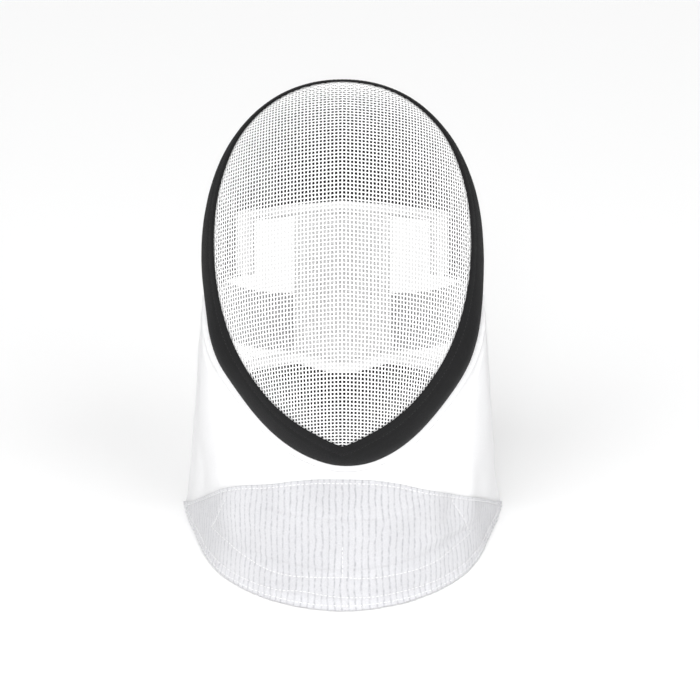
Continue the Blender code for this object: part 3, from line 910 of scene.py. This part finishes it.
def lameMaterial():  # woven cloth with soft upright stripes that wander and break
    material, tree, shader = newMaterial("silver_lame_cloth", lame)
    place = addNode(tree, "TexCoord").outputs["Object"]
    split = addNode(tree, "SeparateXYZ", {0: addNode(tree, "UVMap").outputs[0]})
    wander = centred(tree, grain(tree, place, lame["wanderScale"], 2.0), lame["wander"])
    drift = centred(tree, grain(tree, place, lame["driftScale"], 2.0), lame["drift"])
    across = sums(tree, "ADD", split.outputs["X"], sums(tree, "ADD", wander, drift))
    toLine = sums(tree, "PINGPONG", across, lame["stripePitch"] / 2)
    stripe = addNode(tree, "MapRange", {0: toLine, 1: lame["stripeWidth"] / 2, 2: 0.0},
                     interpolation_type="SMOOTHSTEP").outputs[0]
    broken = grain(tree, place, lame["breakScale"])
    broken = addNode(tree, "MapRange", {0: broken, 1: 0.38, 2: 0.62, 3: 0.25, 4: 1.0}).outputs[0]
    stripe = sums(tree, "MULTIPLY", stripe, sums(tree, "MULTIPLY", broken, lame["stripeShare"]))
    woven = wovenThreads(tree, split, lame["thread"])
    fine = grain(tree, place, lame["fineScale"])
    patches = centred(tree, grain(tree, place, lame["patchScale"]), lame["patchShade"], lame["patchMiddle"])
    shade = sums(tree, "MULTIPLY", woven, lame["threadShade"])
    shade = sums(tree, "ADD", shade, sums(tree, "MULTIPLY", fine, lame["fineShade"]))
    shade = sums(tree, "ADD", shade, patches, clamp=True)
    ground = mixedColours(tree, shade, (*lame["dark"], 1), (*lame["colour"], 1))
    colour = mixedColours(tree, stripe, ground, (*lame["stripe"], 1))
    tree.links.new(colour, shader.inputs["Base Color"])
    shine = addNode(tree, "MapRange", {0: fine, 1: 0.3, 2: 0.7, 3: 0.38, 4: 0.66}).outputs[0]
    tree.links.new(shine, shader.inputs["Roughness"])
    lines = sums(tree, "MULTIPLY", stripe, lame["stripeRelief"])
    height = sums(tree, "SUBTRACT", sums(tree, "ADD", woven, fine), lines)
    raised(tree, shader, height, lame["relief"], lame["reliefDistance"])
    return material


whiteThread = {
    **sewingThread, "colour": (0.93, 0.93, 0.93), "dark": (0.8, 0.8, 0.8),
    "fuzzShade": 0.5, "relief": 0.3,
}
dress(panelCloth, lameMaterial())
whiteThreadCloth = clothMaterial("white_thread", whiteThread)
dress(panelStitches, whiteThreadCloth)
print("mask: panel done")


# Liner: brow pad with legs and chin pad against the bowl's inside, each with a taped edge

liner = {
    "wall": 0.01, "seat": 0.0009, "bindingWidth": 0.0065,
    "browHalfWidth": 0.0755, "browHeight": 0.0118, "browRise": 0.0055, "browLegDrop": 0.026,
    "chinHalfWidth": 0.0745, "chinHeight": -0.0906, "chinPeak": 0.045, "chinDip": 0.0104, "chinFall": -0.0015,
    "voxel": 0.0034, "pressure": 4.0, "swell": 0.0045, "slide": 0.0006, "frames": 20,
    "tape": 0.0007, "tapeWidth": 0.022, "seamShare": 0.82,
    "stitch": {"pitch": 0.0032, "length": 0.0022, "width": 0.0005, "lift": 0.0001},
}
padFront = -bowl["wall"] / 2 - liner["seat"]
toFace = toWorld.inverted()


def overFace(point):  # (distance off the bowl's middle surface, its normal), in the bowl's frame
    slope = faceSlope(point.x, point.z)
    return (bowlDepth(point.x, point.z) - point.y) / slope.length, slope.normalized()


def puffedPad(name, node, limit):
    # The solid's own mesh, filled with air by a cloth simulation and held to its seat by limit(place, move)
    bm = bmesh.new()
    bm.from_mesh(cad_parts[node].data)
    bmesh.ops.remove_doubles(bm, verts=bm.verts, dist=1e-6)
    pad = addPiece(name, faceOutwards(bm), node)
    remesh = pad.modifiers.new("even_mesh", "REMESH")
    remesh.mode, remesh.voxel_size = "VOXEL", liner["voxel"]
    bakeModifiers(pad)
    rest = [vert.co.copy() for vert in pad.data.vertices]
    cloth = pad.modifiers.new("filling", "CLOTH")
    cloth.settings.use_pressure = True
    cloth.settings.uniform_pressure_force = liner["pressure"]
    cloth.settings.effector_weights.gravity = 0.0
    for number in range(1, liner["frames"] + 1):
        bpy.context.scene.frame_set(number)
    bakeModifiers(pad)
    bpy.context.scene.frame_set(1)
    for vert, start in zip(pad.data.vertices, rest):
        vert.co = start + limit(start, vert.co - start)
    return pad


def bakeModifiers(piece):
    graph = bpy.context.evaluated_depsgraph_get()
    mesh = bpy.data.meshes.new_from_object(piece.evaluated_get(graph))
    piece.modifiers.clear()
    piece.data = mesh
    mesh.shade_smooth()


def cutTo(move, most):
    return move.normalized() * most if move.length > most else move


def makeFiner(pad):
    finer = pad.modifiers.new("finer", "SUBSURF")
    finer.levels = finer.render_levels = 1


def inwardOnly(start, move):  # a face pad swells towards the head, never into the net
    out, normal = overFace(toFace @ start)
    inward = -(turnToWorld @ normal)
    amount = min(max(move.dot(inward), 0.0), liner["swell"])
    deep = smooth((padFront - out) / liner["wall"])
    slide = cutTo(move - inward * move.dot(inward), liner["slide"])
    return (inward * amount + slide) * deep


def browEdge(grow):
    half, top = liner["browHalfWidth"] + grow, liner["browHeight"] + grow
    corner = top + liner["browRise"]
    leg = [(half, blend(-liner["browLegDrop"], corner, i / 24)) for i in range(24)]
    brow = [(half * (1 - i / 48), top + liner["browRise"] * (1 - i / 48) ** 2) for i in range(97)]
    return leg + brow + [(-x, z) for x, z in leg[::-1]]


def chinEdge(grow):
    half, peak, places = liner["chinHalfWidth"], liner["chinPeak"], []
    for i in range(97):
        x = half * (1 - i / 48)
        if abs(x) < peak:
            fall = liner["chinDip"] * (1 + cos(pi * x / peak)) / 2
        else:
            fall = liner["chinFall"] * ((abs(x) - peak) / (half - peak)) ** 2
        places.append((x, liner["chinHeight"] - fall - grow))
    return places


def tapedEdge(name, edge, node):
    # Tape folded over a pad's edge: its section is a rounded U from the net's side to the head's side
    width, wall = liner["bindingWidth"], liner["wall"]
    steps, around = len(edge(0.0)) - 1, 20
    first, last = edge(0.0), edge(width)
    length = runningLengths(first)[-1]

    def section(share):  # (way from the edge line, depth) round the tape
        turn = share * around
        if turn <= 7:
            return blend(1.0, 0.22, turn / 7), 0.0
        if turn >= 13:
            return blend(0.22, 1.0, (turn - 13) / 7), 1.0
        angle = pi * (turn - 7) / 6
        return 0.22 - 0.22 * sin(angle), 0.5 - 0.5 * cos(angle)

    def place(across, along):
        i = min(int(round(across * steps)), steps)
        way, depth = section(along)
        x, z = blend(first[i][0], last[i][0], way), blend(first[i][1], last[i][1], way)
        swell = 0.0008 * sin(pi * way) * (1 if depth > 0.5 else 0)
        return toWorld @ facePoint(x, z, padFront + 0.0002 - (wall + 0.0006) * depth - swell)

    bm = shapedGrid(steps, around, place, lambda u, v: (u * length, v * liner["tapeWidth"]))
    piece = addPiece(name, faceOutwards(bm), node)
    thicken(piece, liner["tape"])
    return piece, length


def tapeSeam(edge, depth):  # on the tape's face towards the head
    line = []
    for (x, z), (farX, farZ) in zip(edge(0.0), edge(liner["bindingWidth"])):
        spotX, spotZ = blend(x, farX, liner["seamShare"]), blend(z, farZ, liner["seamShare"])
        normal = faceSlope(spotX, spotZ).normalized()
        line.append((toWorld @ facePoint(spotX, spotZ, depth), turnToWorld @ -normal))
    return line


browPad = puffedPad("brow_cushion", "brow_pad", inwardOnly)
chinPad = puffedPad("chin_cushion", "chin_pad", inwardOnly)
browTape, browTapeLength = tapedEdge("brow_tape", browEdge, "brow_binding")
chinTape, chinTapeLength = tapedEdge("chin_tape", chinEdge, "chin_binding")
backOfTape = padFront - liner["wall"] - 0.0004 - liner["tape"] / 2
tapeStitches = sewStitches("tape_stitches", [
    tapeSeam(browEdge, backOfTape), tapeSeam(chinEdge, backOfTape),
], liner["stitch"])

lining = {
    "colour": (0.02, 0.015, 0.018), "dark": (0.009, 0.007, 0.008), "roughness": 0.95,
    "Specular IOR Level": 0.2, "Sheen Weight": 0.1, "Sheen Roughness": 0.45,
    "nap": 900.0, "patchScale": 45.0, "relief": 0.7,
}
tape = {
    "colour": (0.82, 0.82, 0.82), "dark": (0.74, 0.74, 0.74), "roughness": 0.75,
    "thread": 0.0009, "threadShade": 0.35, "fuzzScale": 900.0, "fuzzShade": 0.4,
    "patchScale": 40.0, "patchShade": 0.3, "fuzzHeight": 0.6, "relief": 0.6, "reliefDistance": 0.0002,
}


def napMaterial(name, look):  # brushed cloth, on Object coordinates
    material, tree, shader = newMaterial(name, look)
    place = addNode(tree, "TexCoord").outputs["Object"]
    nap = grain(tree, place, look["nap"], 4.0, 0.65)
    patches = grain(tree, place, look["patchScale"], 3.0)
    nearShare, wideShare = sums(tree, "MULTIPLY", nap, 0.7), sums(tree, "MULTIPLY", patches, 0.5)
    paintBetween(tree, shader, sums(tree, "ADD", nearShare, wideShare, clamp=True), look)
    raised(tree, shader, nap, look["relief"], 0.0003)
    return material


liningCloth = napMaterial("dark_brushed_lining", lining)
tapeCloth = clothMaterial("light_tape", tape)
dress(browPad, liningCloth)
dress(chinPad, liningCloth)
dress(browTape, tapeCloth)
dress(chinTape, tapeCloth)
dress(tapeStitches, whiteThreadCloth)
print("mask: liner done")


# Back tongue: a padded strip behind the head, sewn round its edge

tongue = {
    "width": 0.086, "wall": 0.0056, "straight": 0.015, "bendRadius": 0.09, "bendDegrees": 100.0,
    "length": 0.11, "corner": 0.02, "seamInset": 0.007, "seamDepth": 0.0011, "seamSpread": 0.0014,
    "swell": 0.002,
    "stitch": {"pitch": 0.0036, "length": 0.0026, "width": 0.0006, "lift": 0.0000},
}


def tonguePath(distance):
    bendLength = tongue["bendRadius"] * radians(tongue["bendDegrees"])
    heading = min(max(distance - tongue["straight"], 0.0), bendLength) / tongue["bendRadius"]
    rest = max(distance - tongue["straight"] - bendLength, 0.0)
    back = min(distance, tongue["straight"]) + tongue["bendRadius"] * sin(heading) + rest * cos(heading)
    up = -tongue["bendRadius"] * (1 - cos(heading)) - rest * sin(heading)
    return back, up, heading


def crownTurn(x):
    return acos(copysign((abs(x) / bowl["halfWidth"]) ** (bowl["crownPower"] / 2), x))


seatBack = 2 * trim["seat"] + trim["wall"]
tongueTotal = tongue["straight"] + tongue["bendRadius"] * radians(tongue["bendDegrees"]) + tongue["length"]


def crownSeat():  # where the tongue leaves the trim, on the middle line
    return wallMid(pi / 2, behindRim(pi / 2, seatBack))


def tonguePoint(distance, x, out):
    seat = wallMid(crownTurn(x), behindRim(crownTurn(x), seatBack))
    crown = crownSeat()
    flat = smooth(distance / (tongue["straight"] + tongue["bendRadius"]))
    back, up, heading = tonguePath(distance)
    start = Vector((x, blend(seat.y, crown.y, flat), blend(seat.z, crown.z, flat)))
    return start + Vector((0, back, up)) + Vector((0, sin(heading), cos(heading))) * out


def tongueEdgeLine(inset, out):  # down one side, round the end's corners and up the other
    half, corner = tongue["width"] / 2 - inset, tongue["corner"] - inset
    end = tongueTotal - inset
    side = [(blend(0.012, end - corner, i / 60), half) for i in range(61)]
    turn = [(end - corner + corner * sin(i * pi / 24), half - corner + corner * cos(i * pi / 24))
            for i in range(1, 13)]
    foot = [(end, blend(half - corner, 0.0, i / 10)) for i in range(1, 11)]
    line = side + turn + foot
    line += [(distance, -x) for distance, x in line[-2::-1]]
    points = []
    for distance, x in line:
        heading = tonguePath(distance)[2]
        up = Vector((0, sin(heading), cos(heading))) * (1 if out > 0 else -1)
        points.append((toWorld @ tonguePoint(distance, x, out), turnToWorld @ up))
    return points


seamPoints = [toFace @ point for point, _ in tongueEdgeLine(tongue["seamInset"], 0.0)]


def pressSeam(pad):
    # The sewn line pulls both faces together
    tree = KDTree(len(seamPoints) * 3)
    for i, (first, last) in enumerate(zip(seamPoints, seamPoints[1:])):
        for share in (0.0, 0.33, 0.66):
            tree.insert(first.lerp(last, share), i)
    tree.balance()
    for vert in pad.data.vertices:
        near, _, _ = tree.find(toFace @ vert.co)
        toMiddle = near - toFace @ vert.co
        depth = toMiddle.length
        beside = sqrt(max(depth * depth - (tongue["wall"] / 2) ** 2, 0.0))
        pull = tongue["seamDepth"] * bump(beside, tongue["seamSpread"])
        vert.co = vert.co + (turnToWorld @ toMiddle.normalized()) * pull


tonguePad = puffedPad("tongue_cushion", "tongue",
                      lambda start, move: cutTo(move, tongue["swell"]))
makeFiner(tonguePad)
bakeModifiers(tonguePad)
pressSeam(tonguePad)
seamOut = tongue["wall"] / 2 + 0.0002
tongueStitches = sewStitches("tongue_stitches", [
    tongueEdgeLine(tongue["seamInset"], seamOut), tongueEdgeLine(tongue["seamInset"], -seamOut),
], tongue["stitch"])
makeFiner(browPad)
makeFiner(chinPad)

greyCloth = {
    "colour": (0.95, 0.95, 0.95), "dark": (0.88, 0.88, 0.88), "roughness": 0.85,
    "Sheen Weight": 0.3, "Sheen Roughness": 0.5, "nap": 1100.0, "patchScale": 40.0, "relief": 0.6,
}
dress(tonguePad, napMaterial("grey_tongue_cloth", greyCloth))
dress(tongueStitches, whiteThreadCloth)
print("mask: tongue done")


# Back strap: ribbed elastic from rim to rim behind the tongue

strap = {
    "width": 0.05, "wall": 0.002, "height": -0.033, "lap": 0.01, "seat": 0.0007,
    "columns": 150, "rows": 24, "edge": 0.0006, "slack": 0.0012,
}


def tongueBackAt(z):
    drop = bowl["rise"] - z
    bend = radians(tongue["bendDegrees"])
    bendDrop = tongue["bendRadius"] * (1 - cos(bend))
    heading = acos(1 - drop / tongue["bendRadius"]) if drop < bendDrop else bend
    rest = max(drop - bendDrop, 0.0) / sin(bend)
    return crownSeat().y + tongue["straight"] + tongue["bendRadius"] * sin(heading) + rest * cos(heading)


@lru_cache(maxsize=None)
def strapLine(z):
    turn = copysign(asin((abs(z) / bowl["drop"]) ** (bowl["chinPower"] / 2)), z)
    end = wallPoint(turn, behindRim(turn), -trimOuter - strap["seat"] - strap["wall"] / 2)
    halfFlat = tongue["width"] / 2 + strap["wall"]
    back = tongueBackAt(z) + (tongue["wall"] + strap["wall"]) / 2 / sin(radians(tongue["bendDegrees"]))
    back += strap["seat"] + strap["slack"]
    line = [(end.x, end.y - strap["lap"])]
    turns = [pi * i / 48 for i in range(25)]
    line += [(blend(halfFlat, end.x, cos(turn)), blend(end.y, back, sin(turn))) for turn in turns]
    line.append((0.0, back))
    line += [(-x, y) for x, y in line[-2::-1]]
    return line, runningLengths(line)


def strapPlace(across, along):
    z = strap["height"] + strap["width"] * (along - 0.5)
    line, lengths = strapLine(round(z, 6))
    due = across * lengths[-1]
    i = next((k for k in range(len(lengths) - 2) if lengths[k + 1] >= due), len(lengths) - 2)
    share = (due - lengths[i]) / max(lengths[i + 1] - lengths[i], 1e-9)
    x, y = (blend(line[i][k], line[i + 1][k], share) for k in (0, 1))
    return toWorld @ Vector((x, y, z))


strapLength = strapLine(strap["height"])[1][-1]
strapGrid = shapedGrid(strap["columns"], strap["rows"], strapPlace,
                       lambda u, v: (u * strapLength, v * strap["width"]))
backStrap = addPiece("elastic_strap", faceOutwards(strapGrid), "back_strap")
thicken(backStrap, strap["wall"], strap["edge"])

elastic = {
    "colour": (0.66, 0.66, 0.67), "dark": (0.44, 0.44, 0.45), "roughness": 0.8,
    "thread": 0.0014, "threadShade": 0.4, "fuzzScale": 900.0, "fuzzShade": 0.4,
    "patchScale": 40.0, "patchShade": 0.3, "fuzzHeight": 0.5, "relief": 0.8, "reliefDistance": 0.0004,
}
dress(backStrap, clothMaterial("grey_elastic", elastic))
print("mask: strap done")


# Camera, lights and floor

studio = {
    "lens": 116.2, "cameraOffset": (0.00584, -1.5607, 0.6241), "pitchDegrees": 65.0,
    "floor": (0.92, 0.92, 0.92), "floorReach": 40.0, "world": (1.0, 1.0, 1.0), "worldStrength": 0.5,
    "lensLight": 58.0, "lensLightSize": 0.012,
}
camera = bpy.data.objects.new("camera", bpy.data.cameras.new("camera"))
camera.data.lens = studio["lens"]
camera.location = bowlPlace + Vector(studio["cameraOffset"])
camera.rotation_euler = (radians(studio["pitchDegrees"]), 0, 0)
bpy.context.collection.objects.link(camera)
bpy.context.scene.camera = camera

softLights = {
    # name: (degrees round from the front, degrees up, strength, width in degrees)
    "front_light": (-8.0, 32.0, 0.45, 14.0),
    "key_light": (-46.0, 48.0, 1.05, 45.0),
    "side_light": (56.0, 38.0, 0.95, 45.0),
}
lensLight = bpy.data.objects.new("lens_light", bpy.data.lights.new("lens_light", "POINT"))
lensLight.data.energy, lensLight.data.shadow_soft_size = studio["lensLight"], studio["lensLightSize"]
lensLight.location = camera.location
bpy.context.collection.objects.link(lensLight)
for name, (turned, up, strength, width) in softLights.items():
    lamp = bpy.data.objects.new(name, bpy.data.lights.new(name, "SUN"))
    lamp.data.energy, lamp.data.angle = strength, radians(width)
    lamp.rotation_euler = (radians(90 - up), 0, radians(turned))
    lamp.location = (0, 0, 2)
    bpy.context.collection.objects.link(lamp)

floorMesh = bmesh.new()
bmesh.ops.create_grid(floorMesh, x_segments=1, y_segments=1, size=studio["floorReach"])
mesh = bpy.data.meshes.new("studio_floor")
floorMesh.to_mesh(mesh)
floorMesh.free()
studioFloor = bpy.data.objects.new("studio_floor", mesh)
bpy.context.collection.objects.link(studioFloor)
floorMaterial, _, _ = newMaterial("pale_floor", {"colour": studio["floor"], "roughness": 0.9})
mesh.materials.append(floorMaterial)

world = bpy.data.worlds.new("studio")
world.use_nodes = True
background = world.node_tree.nodes["Background"]
background.inputs["Color"].default_value = (*studio["world"], 1)
background.inputs["Strength"].default_value = studio["worldStrength"]
bpy.context.scene.world = world
bpy.context.scene.view_settings.view_transform = "Standard"
